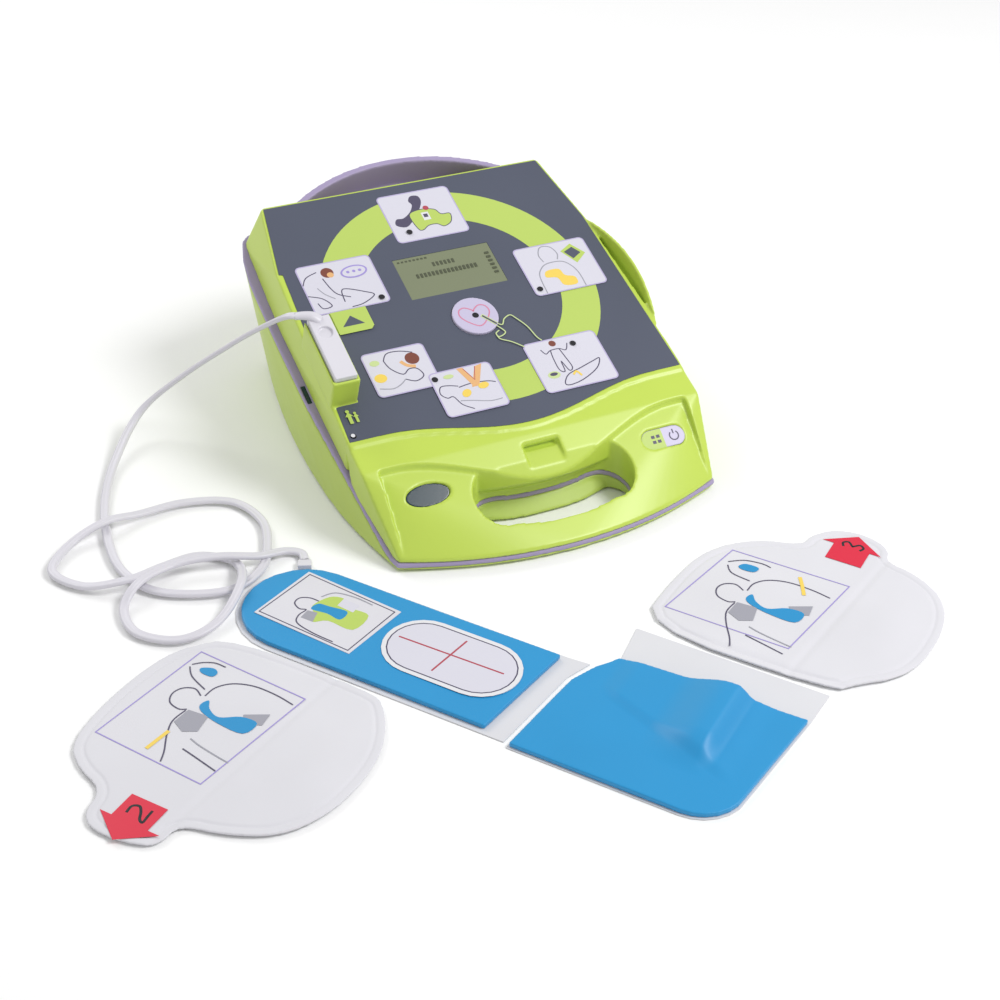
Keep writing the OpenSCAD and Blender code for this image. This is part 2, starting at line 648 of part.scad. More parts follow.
// Round tube along a list of points
module tube(pts, r, sides) {
    n = len(pts);
    dir = [for (i = [0:n - 1]) unit(pts[clamp_i(i + 1, n)] - pts[clamp_i(i - 1, n)])];
    side = [for (d = dir) unit(cross(d, [0, 0, 1] + 0.001 * [1, 2, 0]))];
    up = [for (i = [0:n - 1]) cross(side[i], dir[i])];
    verts = [for (i = [0:n - 1], k = [0:sides - 1]) let (a = 360 * k / sides)
        pts[i] + r * (cos(a) * side[i] + sin(a) * up[i])];
    skin = [for (i = [0:n - 2], k = [0:sides - 1]) let (j = (k + 1) % sides)
        [i * sides + k, i * sides + j, (i + 1) * sides + j, (i + 1) * sides + k]];
    ends = [[for (k = [sides - 1:-1:0]) k], [for (k = [0:sides - 1]) (n - 1) * sides + k]];
    polyhedron(verts, concat(skin, ends), convexity = 10);
}

module cord() color([0.93, 0.92, 0.94]) tube(route_samples(cord_route, 2), cord_d / 2, 8);

module plug_relief() color([0.9, 0.88, 0.92]) tube([[-105, 0.5, 105], [-110, 3, 105.8], [-116, 6.1, 105.8]], 2.4, 12);

// Electrode pads, all drawn in the strip's own frame
module near_plan(grow = 0) polygon(concat(
    [for (a = [90:15:270]) [-143 + (pad_w / 2 + grow) * cos(a), (pad_w / 2 + grow) * sin(a)]],
    [[-8 + grow, -pad_w / 2 - grow], [1 + grow, pad_w / 2 + grow]]
));

module far_plan(grow = 0) polygon(concat(
    [[8 - grow, -41 - grow]],
    [for (a = [270:15:360]) [104 + (26 + grow) * cos(a), -15 + (26 + grow) * sin(a)]],
    [[138 + grow, 54 + grow], [29 - grow, 50 + grow], [20 - grow, 36 + grow], [14 - grow, 20]]
));

// Moulded tab where the cord joins the pads
module pad_tab() color([0.92, 0.92, 0.94]) on_pads() translate([-143, 0, 0]) rotate([0, 0, 123])
    translate([38.2, -4, 0]) cube([6, 8, 3.6]);

module near_liner() color([0.95, 0.95, 0.97]) on_pads() linear_extrude(liner_t) near_plan(3);
module near_foam() color([0.3, 0.6, 0.85]) on_pads(liner_t) linear_extrude(foam_t) near_plan();
module target_label() color([0.95, 0.95, 0.97]) on_pads(liner_t + foam_t) translate([-49, 3, 0]) stadium(20, 21, 0.4);
module picture_card() color([0.93, 0.93, 0.95]) on_pads(liner_t + foam_t) linear_extrude(0.4)
    polygon([[-164, -18], [-99, -22], [-93, 23], [-158, 28]]);

module compression_sensor() color([0.2, 0.2, 0.22]) on_pads() translate([-49, 3, liner_t + 0.4]) stadium(12, 14, 2.2);

module near_cover() color([0.07, 0.6, 0.83]) difference() {
    near_foam();
    compression_sensor();
}

module hinge_strip() color([0.93, 0.93, 0.95]) on_pads() linear_extrude(liner_t)
    polygon([[-5, -38], [4, 38], [17, 39], [11, 23], [5, -38]]);

module far_liner() color([0.95, 0.95, 0.97]) on_pads() linear_extrude(liner_t) {
    far_plan(0);
    polygon([[30, 50], [138, 54], [139.5, 79.6], [26.2, 79.6]]);
}
module far_cover() color([0.07, 0.6, 0.83]) on_pads(liner_t) linear_extrude(foam_t) far_plan(-1);

module near_wing_plan() polygon([
    [-162, -40.5], [-72, -40.5], [-60, -48], [-45, -72], [-41, -100], [-44, -128], [-57, -151], [-80, -163],
    [-103, -168], [-103, -182], [-112, -189], [-136, -192], [-148, -185], [-150, -168], [-172, -161],
    [-186, -148], [-190, -112], [-187, -76], [-179, -58]
]);

module far_wing_plan() polygon([
    [26, 82], [140, 82], [150, 94], [168, 110], [176, 132], [177, 168], [167, 192], [148, 204],
    [129, 207], [127, 220], [110, 227], [92, 223], [81, 210], [80, 198], [54, 190], [32, 166], [26, 130]
]);

module near_wing() color([0.94, 0.94, 0.96]) on_pads(gel_t) linear_extrude(sheet_t) near_wing_plan();
module far_wing() color([0.94, 0.94, 0.96]) on_pads(gel_t) linear_extrude(sheet_t) far_wing_plan();

module near_gel() color([0.8, 0.85, 0.9, 0.6]) on_pads() translate([-175, -150, 0]) rounded_plate([120, 96], 24, gel_t);
module far_gel() color([0.8, 0.85, 0.9, 0.6]) on_pads() translate([42, 96, 0]) rounded_plate([120, 96], 24, gel_t);

upper_housing();
lower_shell();
gasket();
infrared_window();
rear_bumper();
panel_overlay();
lcd_window();
lcd_module();
shock_button();
power_button();
status_window();
status_display();
panel_leds();
main_board();
board_chips();
dome_switches();
switch_board();
storage_capacitor();
charging_coil();
output_relay();
power_board();
loudspeaker();
microphone();
battery_cells();
battery_contacts();
battery_lead();
battery_door();
hinge_pin();
rating_plate();
rubber_feet();
case_screws();
plug_body();
socket_pins();
plug_relief();
cord();
pad_tab();
near_liner();
near_cover();
target_label();
picture_card();
compression_sensor();
hinge_strip();
far_liner();
far_cover();
near_wing();
near_gel();
far_wing();
far_gel();
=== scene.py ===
"""Portable defibrillator with its plug, cord and one-piece electrode pads, seen from the front left.

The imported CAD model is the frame. The mouldings keep their CAD meshes and get soft moulded edges,
the pads, cord and plug relief are built here, and the panel and pads carry printed pictograms.
"""

import json
import math

import bmesh
import bpy
from mathutils import Matrix, Vector
from mathutils.geometry import tessellate_polygon
from mathutils.kdtree import KDTree


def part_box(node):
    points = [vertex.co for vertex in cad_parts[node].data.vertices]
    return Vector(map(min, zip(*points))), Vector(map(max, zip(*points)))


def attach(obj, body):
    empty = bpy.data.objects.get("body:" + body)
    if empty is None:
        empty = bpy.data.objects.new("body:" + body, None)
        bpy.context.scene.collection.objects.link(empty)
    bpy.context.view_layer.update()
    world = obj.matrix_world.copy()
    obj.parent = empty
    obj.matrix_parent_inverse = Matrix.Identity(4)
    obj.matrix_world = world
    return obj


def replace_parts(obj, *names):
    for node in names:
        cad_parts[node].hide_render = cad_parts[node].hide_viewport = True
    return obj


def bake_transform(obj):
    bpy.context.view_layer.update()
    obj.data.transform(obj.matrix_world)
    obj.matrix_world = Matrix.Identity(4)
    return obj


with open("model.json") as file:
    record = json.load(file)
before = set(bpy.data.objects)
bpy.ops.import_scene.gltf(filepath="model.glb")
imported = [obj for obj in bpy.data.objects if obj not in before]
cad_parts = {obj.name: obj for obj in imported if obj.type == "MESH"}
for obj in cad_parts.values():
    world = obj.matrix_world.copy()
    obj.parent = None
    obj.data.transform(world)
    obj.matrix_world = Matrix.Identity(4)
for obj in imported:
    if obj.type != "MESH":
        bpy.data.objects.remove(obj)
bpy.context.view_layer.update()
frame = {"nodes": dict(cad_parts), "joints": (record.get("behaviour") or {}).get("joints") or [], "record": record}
MM = 0.001
JOINTS = {joint["name"]: joint for joint in frame["joints"]}

# ---------------------------------------------------------------------------
# Places taken from the frame
# ---------------------------------------------------------------------------
OVERLAY_T = 0.8 * MM  # thickness of the panel film
OVERLAY_DEPTH = 193.8 * MM  # length of the panel film up the slope
UP_SLOPE = Vector(JOINTS["plug_slide"]["axis"])
PANEL_OUT = -Vector(JOINTS["shock_press"]["axis"])
OVERLAY_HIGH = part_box("panel_overlay")[1]
PANEL_ORIGIN = Vector((
    0,
    OVERLAY_HIGH.y - OVERLAY_DEPTH * UP_SLOPE.y - OVERLAY_T * UP_SLOPE.z,
    OVERLAY_HIGH.z - OVERLAY_DEPTH * UP_SLOPE.z,
))

STRIP_ALONG = -Vector(JOINTS["near_wing_fold"]["axis"])
STRIP_ACROSS = Vector((0, 0, 1)).cross(STRIP_ALONG)
HINGE_ALONG = 10.43 * MM  # from the strip's origin to the line the far pad folds about
STRIP_ORIGIN = Vector(JOINTS["pad_fold"]["pos_m"]) - HINGE_ALONG * STRIP_ALONG


def face_matrix(origin, across, up, out):
    """Matrix from millimetres on a flat face (across, up, outwards) to metres in the row frame."""
    turn = Matrix((across, up, out)).transposed().to_4x4()
    return Matrix.Translation(origin) @ turn @ Matrix.Scale(MM, 4)


PANEL = face_matrix(PANEL_ORIGIN, Vector((1, 0, 0)), UP_SLOPE, PANEL_OUT)
STRIP = face_matrix(STRIP_ORIGIN, STRIP_ALONG, STRIP_ACROSS, Vector((0, 0, 1)))
POWER_OUT = -Vector(JOINTS["power_press"]["axis"])
POWER_UP = Vector((1, 0, 0)).cross(-POWER_OUT)


# ---------------------------------------------------------------------------
# Materials
# ---------------------------------------------------------------------------
def material(name, colour, roughness, mottle=0.06, grain=2600, depth=0.00002, metallic=0, coat=0, sheen=0):
    """Principled material whose colour and roughness drift a little and whose surface is finely grained."""
    mat = bpy.data.materials.new(name)
    mat.use_nodes = True
    nodes, links = mat.node_tree.nodes, mat.node_tree.links
    shader = nodes["Principled BSDF"]
    shader.inputs["Metallic"].default_value = metallic
    shader.inputs["Coat Weight"].default_value = coat
    shader.inputs["Coat Roughness"].default_value = 0.25
    shader.inputs["Sheen Weight"].default_value = sheen
    place = nodes.new("ShaderNodeTexCoord")
    cloud = nodes.new("ShaderNodeTexNoise")
    cloud.inputs["Scale"].default_value = 14
    cloud.inputs["Detail"].default_value = 3
    links.new(place.outputs["Object"], cloud.inputs["Vector"])
    tint = nodes.new("ShaderNodeMix")
    tint.data_type = "RGBA"
    tint.inputs["A"].default_value = (*[c * (1 - mottle) for c in colour], 1)
    tint.inputs["B"].default_value = (*[min(1, c * (1 + mottle)) for c in colour], 1)
    links.new(cloud.outputs["Fac"], tint.inputs["Factor"])
    links.new(tint.outputs["Result"], shader.inputs["Base Color"])
    gloss = nodes.new("ShaderNodeMapRange")
    gloss.inputs["To Min"].default_value = max(0.02, roughness - 0.05)
    gloss.inputs["To Max"].default_value = min(1, roughness + 0.05)
    links.new(cloud.outputs["Fac"], gloss.inputs["Value"])
    links.new(gloss.outputs["Result"], shader.inputs["Roughness"])
    fine = nodes.new("ShaderNodeTexNoise")
    fine.inputs["Scale"].default_value = grain
    links.new(place.outputs["Object"], fine.inputs["Vector"])
    bump = nodes.new("ShaderNodeBump")
    bump.inputs["Distance"].default_value = depth
    bump.inputs["Strength"].default_value = 0.5
    links.new(fine.outputs["Fac"], bump.inputs["Height"])
    links.new(bump.outputs["Normal"], shader.inputs["Normal"])
    return mat


GREEN = (0.50, 0.645, 0.082)
LAVENDER = (0.36, 0.30, 0.48)
SLATE = (0.072, 0.083, 0.122)
WHITE = (0.665, 0.66, 0.70)
BLUE = (0.005, 0.27, 0.58)

FINISH = {
    "green_shell": material("green_shell", GREEN, 0.36, coat=0.1),
    "green_base": material("green_base", (0.49, 0.62, 0.13), 0.42),
    "lavender": material("lavender", LAVENDER, 0.50),
    "panel_film": material("panel_film", SLATE, 0.48, grain=1800),
    "clear_window": material("clear_window", (0.20, 0.225, 0.135), 0.22, coat=0.1),
    "lcd_glass": material("lcd_glass", (0.24, 0.26, 0.17), 0.3),
    "button_lavender": material("button_lavender", (0.54, 0.50, 0.67), 0.42),
    "dark_window": material("dark_window", (0.006, 0.028, 0.042), 0.24),
    "led_lens": material("led_lens", (0.012, 0.012, 0.016), 0.2),
    "circuit_board": material("circuit_board", (0.02, 0.13, 0.06), 0.45),
    "component_black": material("component_black", (0.02, 0.02, 0.023), 0.5),
    "tinned_metal": material("tinned_metal", (0.6, 0.6, 0.58), 0.3, metallic=1),
    "capacitor_sleeve": material("capacitor_sleeve", (0.03, 0.05, 0.20), 0.25),
    "copper_winding": material("copper_winding", (0.55, 0.24, 0.09), 0.35, metallic=1),
    "relay_case": material("relay_case", (0.62, 0.58, 0.46), 0.5),
    "cell_sleeve": material("cell_sleeve", (0.50, 0.40, 0.06), 0.3),
    "lead_red": material("lead_red", (0.38, 0.01, 0.01), 0.45),
    "rubber_black": material("rubber_black", (0.03, 0.03, 0.035), 0.75),
    "steel": material("steel", (0.5, 0.5, 0.52), 0.32, metallic=1),
    "plate_blank": material("plate_blank", (0.6, 0.6, 0.62), 0.38, metallic=1),
    "white_plastic": material("white_plastic", (0.68, 0.665, 0.72), 0.34),
    "gold_contact": material("gold_contact", (0.70, 0.48, 0.15), 0.25, metallic=1),
    "cord_sheath": material("cord_sheath", (0.66, 0.645, 0.70), 0.38),
    "pad_liner": material("pad_liner", (0.66, 0.66, 0.69), 0.45),
    "pad_blue": material("pad_blue", BLUE, 0.46, grain=1300, depth=0.00004, sheen=0.15),
    "label_white": material("label_white", (0.67, 0.66, 0.71), 0.42),
    "pad_sheet": material("pad_sheet", WHITE, 0.62, grain=1500, depth=0.00006, sheen=0.2),
    "gel": material("gel", (0.60, 0.68, 0.75), 0.22, coat=0.4),
}
INK = {
    "card": material("ink_card", (0.64, 0.63, 0.71), 0.45, mottle=0.02),
    "card_edge": material("ink_card_edge", (0.46, 0.41, 0.62), 0.45, mottle=0.02),
    "line": material("ink_line", (0.075, 0.065, 0.12), 0.5, mottle=0.02),
    "grey": material("ink_grey", (0.33, 0.33, 0.38), 0.5, mottle=0.02),
    "green": material("ink_green", (0.46, 0.60, 0.12), 0.45, mottle=0.02),
    "pale_green": material("ink_pale_green", (0.55, 0.66, 0.30), 0.45, mottle=0.02),
    "slate": material("ink_slate", SLATE, 0.48, mottle=0.02),
    "violet": material("ink_violet", (0.33, 0.27, 0.62), 0.45, mottle=0.02),
    "skin": material("ink_skin", (0.74, 0.42, 0.18), 0.5, mottle=0.02),
    "hair": material("ink_hair", (0.19, 0.05, 0.03), 0.5, mottle=0.02),
    "yellow": material("ink_yellow", (0.83, 0.60, 0.10), 0.5, mottle=0.02),
    "red": material("ink_red", (0.66, 0.012, 0.045), 0.45, mottle=0.02),
    "dull_red": material("ink_dull_red", (0.42, 0.06, 0.09), 0.5, mottle=0.02),
    "pink": material("ink_pink", (0.62, 0.22, 0.34), 0.5, mottle=0.02),
    "blue": material("ink_blue", (0.01, 0.26, 0.55), 0.45, mottle=0.02),
    "lcd_dark": material("ink_lcd_dark", (0.075, 0.085, 0.05), 0.3, mottle=0.02),
    "lens": FINISH["led_lens"],
    "white": material("ink_white", (0.72, 0.72, 0.75), 0.4, mottle=0.02),
}


def paint(obj, slot):
    """Give a piece the finish of one of the record's material slots."""
    obj.data.materials.clear()
    obj.data.materials.append(FINISH[slot])
    return obj


for row in frame["record"]["subparts"]:
    paint(frame["nodes"][row["node"]], row["material_slot"])


# ---------------------------------------------------------------------------
# Moulded edges on the CAD nodes
# ---------------------------------------------------------------------------
def soften(node, voxel, passes):
    """Round every edge of a moulding a little, as its tool would leave it."""
    obj = frame["nodes"][node]
    remesh = obj.modifiers.new("even_mesh", "REMESH")
    remesh.mode = "VOXEL"
    remesh.voxel_size = voxel * MM
    remesh.use_smooth_shade = True
    smooth = obj.modifiers.new("soft_edges", "SMOOTH")
    smooth.factor = 0.5
    smooth.iterations = passes
    return obj


soften("upper_housing", 0.8, 10)
soften("lower_shell", 0.9, 9)
soften("gasket", 0.7, 8)
soften("rear_bumper", 0.9, 6)
soften("plug_body", 0.45, 7)
soften("pad_tab", 0.4, 6)
soften("shock_button", 0.5, 5)
soften("power_button", 0.4, 4)
soften("battery_door", 0.8, 3)
soften("status_window", 0.35, 4)


# ---------------------------------------------------------------------------
# Cord: flat twin lead, 5.6 mm wide, from the plug over the floor to the pads' tab
# ---------------------------------------------------------------------------
CORD_ROUTE = [
    (-0.1166, 0.0064, 0.1058), (-0.123, 0.010, 0.1046), (-0.134, 0.026, 0.091), (-0.148, 0.044, 0.073),
    (-0.174, 0.070, 0.042), (-0.200, 0.080, 0.017), (-0.226, 0.050, 0.005), (-0.243, 0.012, 0.003),
    (-0.252, -0.028, 0.003), (-0.252, -0.062, 0.003), (-0.238, -0.088, 0.003), (-0.204, -0.102, 0.003),
    (-0.180, -0.092, 0.003), (-0.168, -0.070, 0.003), (-0.163, -0.045, 0.003), (-0.173, -0.020, 0.003),
    (-0.200, -0.009, 0.003), (-0.228, -0.011, 0.004), (-0.250, -0.016, 0.008), (-0.273, -0.024, 0.004),
    (-0.289, -0.044, 0.003), (-0.276, -0.066, 0.0035), (-0.252, -0.076, 0.008), (-0.230, -0.068, 0.005),
    (-0.208, -0.064, 0.003), (-0.191, -0.078, 0.003), (-0.195, -0.104, 0.0085), (-0.216, -0.127, 0.004),
    (-0.240, -0.133, 0.003), (-0.260, -0.118, 0.003), (-0.261, -0.095, 0.0035), (-0.248, -0.082, 0.009),
    (-0.225, -0.073, 0.008), (-0.200, -0.077, 0.009), (-0.178, -0.082, 0.006), (-0.161, -0.080, 0.003),
    (-0.1525, -0.085, 0.0024), (-0.153, -0.0923, 0.0022),
]
CORE_R = 1.45 * MM
CORE_GAP = 1.35 * MM


def smooth_line(points, per, closed=False):
    """Points along one smooth curve through the given ones."""
    pts = [Vector(p) for p in points]
    count = len(pts)
    out = []
    spans = count if closed else count - 1
    for i in range(spans):
        if closed:
            a, b, c, d = (pts[(i + k) % count] for k in (-1, 0, 1, 2))
        else:
            a, b, c, d = (pts[min(max(i + k, 0), count - 1)] for k in (-1, 0, 1, 2))
        for step in range(per):
            t = step / per
            out.append(0.5 * (2 * b + (c - a) * t + (2 * a - 5 * b + 4 * c - d) * t * t
                              + (3 * b - a - 3 * c + d) * t ** 3))
    if not closed:
        out.append(pts[-1])
    return out


def new_piece(name, mesh):
    """Object that carries a mesh, put into the scene."""
    obj = bpy.data.objects.new(name, mesh)
    bpy.context.scene.collection.objects.link(obj)
    return obj


def swept(name, path, profile_at):
    """Closed tube along a path; profile_at(i) gives the section's points as (sideways, up) pairs."""
    rings = []
    for i, point in enumerate(path):
        ahead = path[min(i + 1, len(path) - 1)] - path[max(i - 1, 0)]
        side = ahead.cross(Vector((0, 0, 1))).normalized()
        up = side.cross(ahead).normalized()
        rings.append([point + side * a + up * b for a, b in profile_at(i)])
    bm = bmesh.new()
    rows = [[bm.verts.new(p) for p in ring] for ring in rings]
    sides = len(rows[0])
    for near, far in zip(rows, rows[1:]):
        for k in range(sides):
            bm.faces.new((near[k], near[(k + 1) % sides], far[(k + 1) % sides], far[k])).smooth = True
    bm.faces.new(rows[0][::-1])
    bm.faces.new(rows[-1])
    bmesh.ops.recalc_face_normals(bm, faces=bm.faces)
    mesh = bpy.data.meshes.new(name)
    bm.to_mesh(mesh)
    bm.free()
    return new_piece(name, mesh)


def twin_profile(index):
    """Two round cores side by side, joined by a thin web."""
    points = []
    for side in (1, -1):
        for step in range(-5, 6):
            angle = step * math.radians(26) + (0 if side > 0 else math.pi)
            points.append((side * CORE_GAP + CORE_R * math.cos(angle), CORE_R * math.sin(angle)))
    return points


def build_cord():
    """Twin lead along the route, in place of the CAD cord."""
    path = smooth_line(CORD_ROUTE, 8)
    cord = paint(swept("twin_cord", path, twin_profile), "cord_sheath")
    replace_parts(cord, "cord")
    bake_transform(cord)
    return cord


def build_relief():
    """Tapered strain relief where the cord leaves the plug."""
    path = smooth_line([(-0.1045, 0.0, 0.103), (-0.108, 0.002, 0.1056), (-0.1125, 0.0045, 0.106),
                        (-0.1175, 0.0068, 0.1056)], 6)

    def profile(index):
        share = index / (len(path) - 1)
        wide = (4.2 - 0.9 * share) * MM
        tall = (3.0 - 1.1 * share) * MM
        return [(wide * math.cos(a * math.pi / 12), tall * math.sin(a * math.pi / 12)) for a in range(24)]

    relief = paint(swept("plug_strain_relief", path, profile), "cord_sheath")
    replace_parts(relief, "plug_relief")
    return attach(relief, "plug")


build_cord()
build_relief()


# ---------------------------------------------------------------------------
# Printed marks
# ---------------------------------------------------------------------------
MARK_STEP = 0.012  # height of each mark above the one before it, in millimetres


class Print:
    """Marks printed on one flat face, in millimetres on that face, one mesh for each ink.

    Each mark lies a hair above the one before it, so later marks cover earlier ones.
    """

    def __init__(self, name, face, body, lift=0.06):
        self.name = name
        self.face = face
        self.body = body
        self.lift = lift
        self.inks = {}

    def _mesh(self, ink):
        self.lift += MARK_STEP
        return self.inks.setdefault(ink, bmesh.new())

    def fill(self, ink, points):
        """Filled shape with straight sides."""
        bm = self._mesh(ink)
        verts = [bm.verts.new(self.face @ Vector((x, y, self.lift))) for x, y in points]
        for a, b, c in tessellate_polygon([[Vector((x, y, 0)) for x, y in points]]):
            tri = bm.faces.new((verts[a], verts[b], verts[c]))
            tri.normal_update()
            if tri.normal.dot(self.face.col[2].to_3d()) < 0:
                tri.normal_flip()

    def blob(self, ink, points):
        """Filled shape with a smooth outline through the points."""
        self.fill(ink, [(p.x, p.y) for p in smooth_line([(x, y, 0) for x, y in points], 4, closed=True)])

    def disc(self, ink, x, y, rx, ry=None, turn=0):
        """Round or oval mark, centred on (x, y)."""
        ry = rx if ry is None else ry
        cos, sin = math.cos(math.radians(turn)), math.sin(math.radians(turn))
        ring = [(rx * math.cos(a * math.pi / 16), ry * math.sin(a * math.pi / 16)) for a in range(32)]
        self.fill(ink, [(x + a * cos - b * sin, y + a * sin + b * cos) for a, b in ring])

    def line(self, ink, points, width, curved=True, closed=False):
        """Stroke of even width through the points."""
        pts = [Vector((x, y, 0)) for x, y in points]
        if curved and len(pts) > 2:
            pts = smooth_line(pts, 5, closed)
        if closed:
            pts.append(pts[0])
        bm = self._mesh(ink)
        rows = []
        last = len(pts) - 1
        for i, p in enumerate(pts):
            before = pts[i - 1] if i else (pts[-2] if closed else p)
            after = pts[i + 1] if i < last else (pts[1] if closed else p)
            into, out = (p - before), (after - p)
            into = into.normalized() if into.length else out.normalized()
            out = out.normalized() if out.length else into
            mid = (into + out).normalized() if (into + out).length > 0.1 else out
            side = Vector((-mid.y, mid.x, 0)) * width / 2 / max(0.5, mid.dot(out))
            pair = (p - side, p + side)
            rows.append([bm.verts.new(self.face @ Vector((q.x, q.y, self.lift))) for q in pair])
        for near, far in zip(rows, rows[1:]):
            bm.faces.new((near[0], far[0], far[1], near[1]))

    def card(self, x, y, w, h, edge="card_edge", r=3.5, rim=0.9):
        """Rounded white card with a thin coloured edge, centred on (x, y)."""
        for ink, grow in ((edge, 0), ("card", -rim)):
            a, b, q = w / 2 + grow, h / 2 + grow, r + grow
            outline = []
            corners = ((a - q, b - q, 0), (q - a, b - q, 90), (q - a, q - b, 180), (a - q, q - b, 270))
            for cx, cy, start in corners:
                for step in range(7):
                    angle = math.radians(start + 15 * step)
                    outline.append((x + cx + q * math.cos(angle), y + cy + q * math.sin(angle)))
            self.fill(ink, outline)

    def done(self):
        """Turn the marks of each ink into one piece that rides on the body."""
        for ink, bm in self.inks.items():
            mesh = bpy.data.meshes.new(f"{self.name}_{ink}")
            bm.to_mesh(mesh)
            bm.free()
            mesh.materials.append(INK[ink])
            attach(new_piece(f"{self.name}_{ink}", mesh), self.body)


RING_AT = (0, 93.3)
RING_R = (65, 90)
RING_STEPS = 80
RING_STARTS = 188  # degrees
RING_SWEEP = 300
CARDS_LIFT = 0.1


def print_ring(art):
    """Broad green ring that leads round the steps, open at the lower left."""
    angles = [math.radians(RING_STARTS - RING_SWEEP * i / RING_STEPS) for i in range(RING_STEPS + 1)]
    inner, outer = (
        [(RING_AT[0] + radius * math.cos(a), RING_AT[1] + radius * math.sin(a)) for a in angles]
        for radius in RING_R
    )
    for i in range(RING_STEPS):
        art.lift -= MARK_STEP
        art.fill("green", [outer[i], outer[i + 1], inner[i + 1], inner[i]])


def print_call_help(art):
    """Top card: a telephone handset and an ambulance."""
    art.card(2, 164.5, 51, 43)
    art.blob("line", [(-3, 178), (0, 182), (5, 181), (5, 175), (-1, 166), (-7, 160), (-13, 156), (-19, 159),
                      (-17, 164), (-12, 164), (-6, 168), (-2, 174)])
    van = [(-6, 153), (-7, 166), (2, 169), (11, 167), (14, 162), (20, 161), (18, 154), (12, 151),
           (8, 154), (2, 154), (-3, 151)]
    art.blob("green", van)
    art.line("line", van, 0.6, closed=True)
    art.fill("white", [(1, 159), (6, 159), (6, 166), (1, 166)])
    art.fill("line", [(2, 161.5), (5, 161.5), (5, 164.5), (2, 164.5)])
    art.disc("dull_red", 6, 169.5, 2.0)


def print_check_response(art):
    """Left card: someone kneels by a person lying down and speaks."""
    art.card(-71.5, 119, 50.5, 41.5)
    art.disc("hair", -77.5, 131, 4.2)
    art.disc("skin", -76, 128.8, 2.2)
    art.line("line", [(-96, 124), (-92, 130), (-84, 133)], 0.7)
    art.line("line", [(-96, 115), (-88, 111), (-84, 104), (-90, 103), (-92, 108)], 0.7)
    art.line("line", [(-82, 127), (-80, 118), (-77, 112), (-70, 108)], 0.7)
    art.line("line", [(-75, 105), (-74, 114), (-70, 115), (-60, 110), (-55, 106), (-64, 101),
                      (-72, 100)], 0.7)
    art.line("grey", [(-88, 120), (-85, 114), (-80, 109)], 0.6)
    art.disc("violet", -60.5, 128, 9, 5.2, 4)
    art.disc("card", -60.5, 128, 7.8, 4.1, 4)
    for offset in (-4, 0, 4):
        art.disc("violet", -60.5 + offset, 128.2, 1.1)


def print_attach_pads(art):
    """Right card: pads on a bare chest, and the unit beside it."""
    art.card(72, 98, 52, 42)
    art.line("grey", [(63, 104), (62, 110), (65, 116), (69, 117), (73, 115), (75, 109), (73, 104)], 0.8)
    art.line("grey", [(54, 78), (55, 92), (58, 98), (64, 102), (74, 102), (79, 98), (82, 90), (82, 78)], 0.8)
    art.blob("yellow", [(59, 91), (61, 96), (70, 96), (72, 90), (78, 87), (77, 81), (68, 82), (66, 89)])
    art.fill("green", [(78, 110), (87, 115), (94, 105), (85, 98)])
    art.fill("slate", [(80, 109), (87, 112), (91, 106), (84, 102)])


def print_stand_clear(art):
    """Lower right card: someone stands clear with both arms out."""
    art.card(44, 21.5, 50.5, 41)
    art.disc("hair", 38.5, 38, 2.4)
    art.line("line", [(29, 35), (31, 31), (35, 33), (41, 33), (45, 31), (48, 36)], 0.7)
    art.line("line", [(35, 33), (34, 26), (34, 17), (37, 15), (38, 23), (40, 15), (43, 17), (42, 26),
                      (41, 33)], 0.7)
    art.disc("pale_green", 29, 14, 4.2, 2.8)
    art.disc("line", 29, 14.6, 2.6, 1.3)
    art.line("line", [(33, 6), (38, 12), (48, 15), (58, 18), (63, 19), (58, 12), (46, 6), (36, 4)], 0.7,
             closed=True)
    art.line("yellow", [(41, 11), (44, 13), (46, 9)], 1.4)


def print_rescue_breaths(art):
    """Lower left card: breaths are given to the person lying down."""
    art.card(-62, 43.5, 41.5, 35)
    art.disc("hair", -52, 50.5, 4.6)
    art.line("skin", [(-60, 50), (-57, 46), (-52, 44)], 2.4)
    art.disc("yellow", -76.5, 40.5, 4.0, 3.4)
    art.line("line", [(-70, 53), (-66, 58), (-58, 58), (-50, 55)], 0.7)
    art.line("line", [(-70, 53), (-68, 46), (-62, 40), (-57, 43), (-52, 42), (-50, 36), (-56, 33),
                      (-62, 36)], 0.7)
    art.line("grey", [(-80, 33), (-72, 31), (-66, 33), (-62, 36)], 0.7)
    art.disc("pale_green", -76, 52.5, 3.2, 2.2)


def print_compressions(art):
    """Lower middle card: two arms press on the middle of the chest."""
    art.card(-27.5, 18, 41.5, 35.5)
    art.line("line", [(-33, 22), (-39, 24), (-44, 24), (-46, 19), (-43, 15), (-39, 15), (-36, 8),
                      (-30, 3)], 0.7)
    art.line("grey", [(-36, 11), (-28, 9), (-18, 6), (-10, 6)], 0.7)
    art.line("line", [(-33, 21), (-24, 22), (-14, 21), (-9, 19)], 0.7)
    art.fill("skin", [(-29, 35), (-25, 35), (-20, 22), (-24, 20)])
    art.fill("skin", [(-17, 34), (-12, 35), (-20, 19), (-25, 19)])
    art.line("dull_red", [(-25, 34), (-21, 24), (-17, 34)], 0.5, curved=False)
    art.disc("yellow", -30, 15.5, 3.4, 2.6, 40)
    art.disc("yellow", -17.5, 18.5, 3.6, 2.4, 10)
    art.disc("pale_green", -36, 30.5, 3.4, 1.6)


